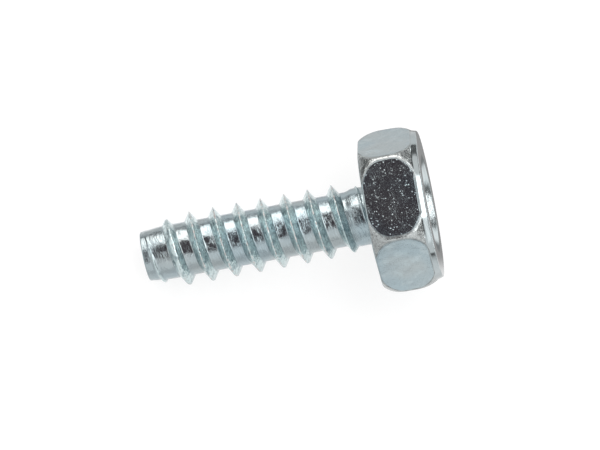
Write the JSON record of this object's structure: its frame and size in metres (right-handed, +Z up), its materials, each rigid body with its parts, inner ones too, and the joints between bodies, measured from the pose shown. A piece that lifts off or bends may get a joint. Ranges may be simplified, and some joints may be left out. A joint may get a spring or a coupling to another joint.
{
  "type": "sheet metal screw",
  "caption": "Hex head sheet metal screw with an indented head, a short blunt tip and a coarse right hand thread",
  "frame": {"origin": "on the supporting surface, under the middle of the screw as it lies", "axes": "+Z up, +X from the tip to the head, with the screw's own axis in the XZ plane and dipped 10.9 degrees to the tip"},
  "size_m": [0.02, 0.0108, 0.0102],
  "materials": {
    "zinc_plated_steel": "bright blue white zinc plating"
  },
  "bodies": {
    "root": {"screw": "zinc_plated_steel"}
  },
  "joints": []
}
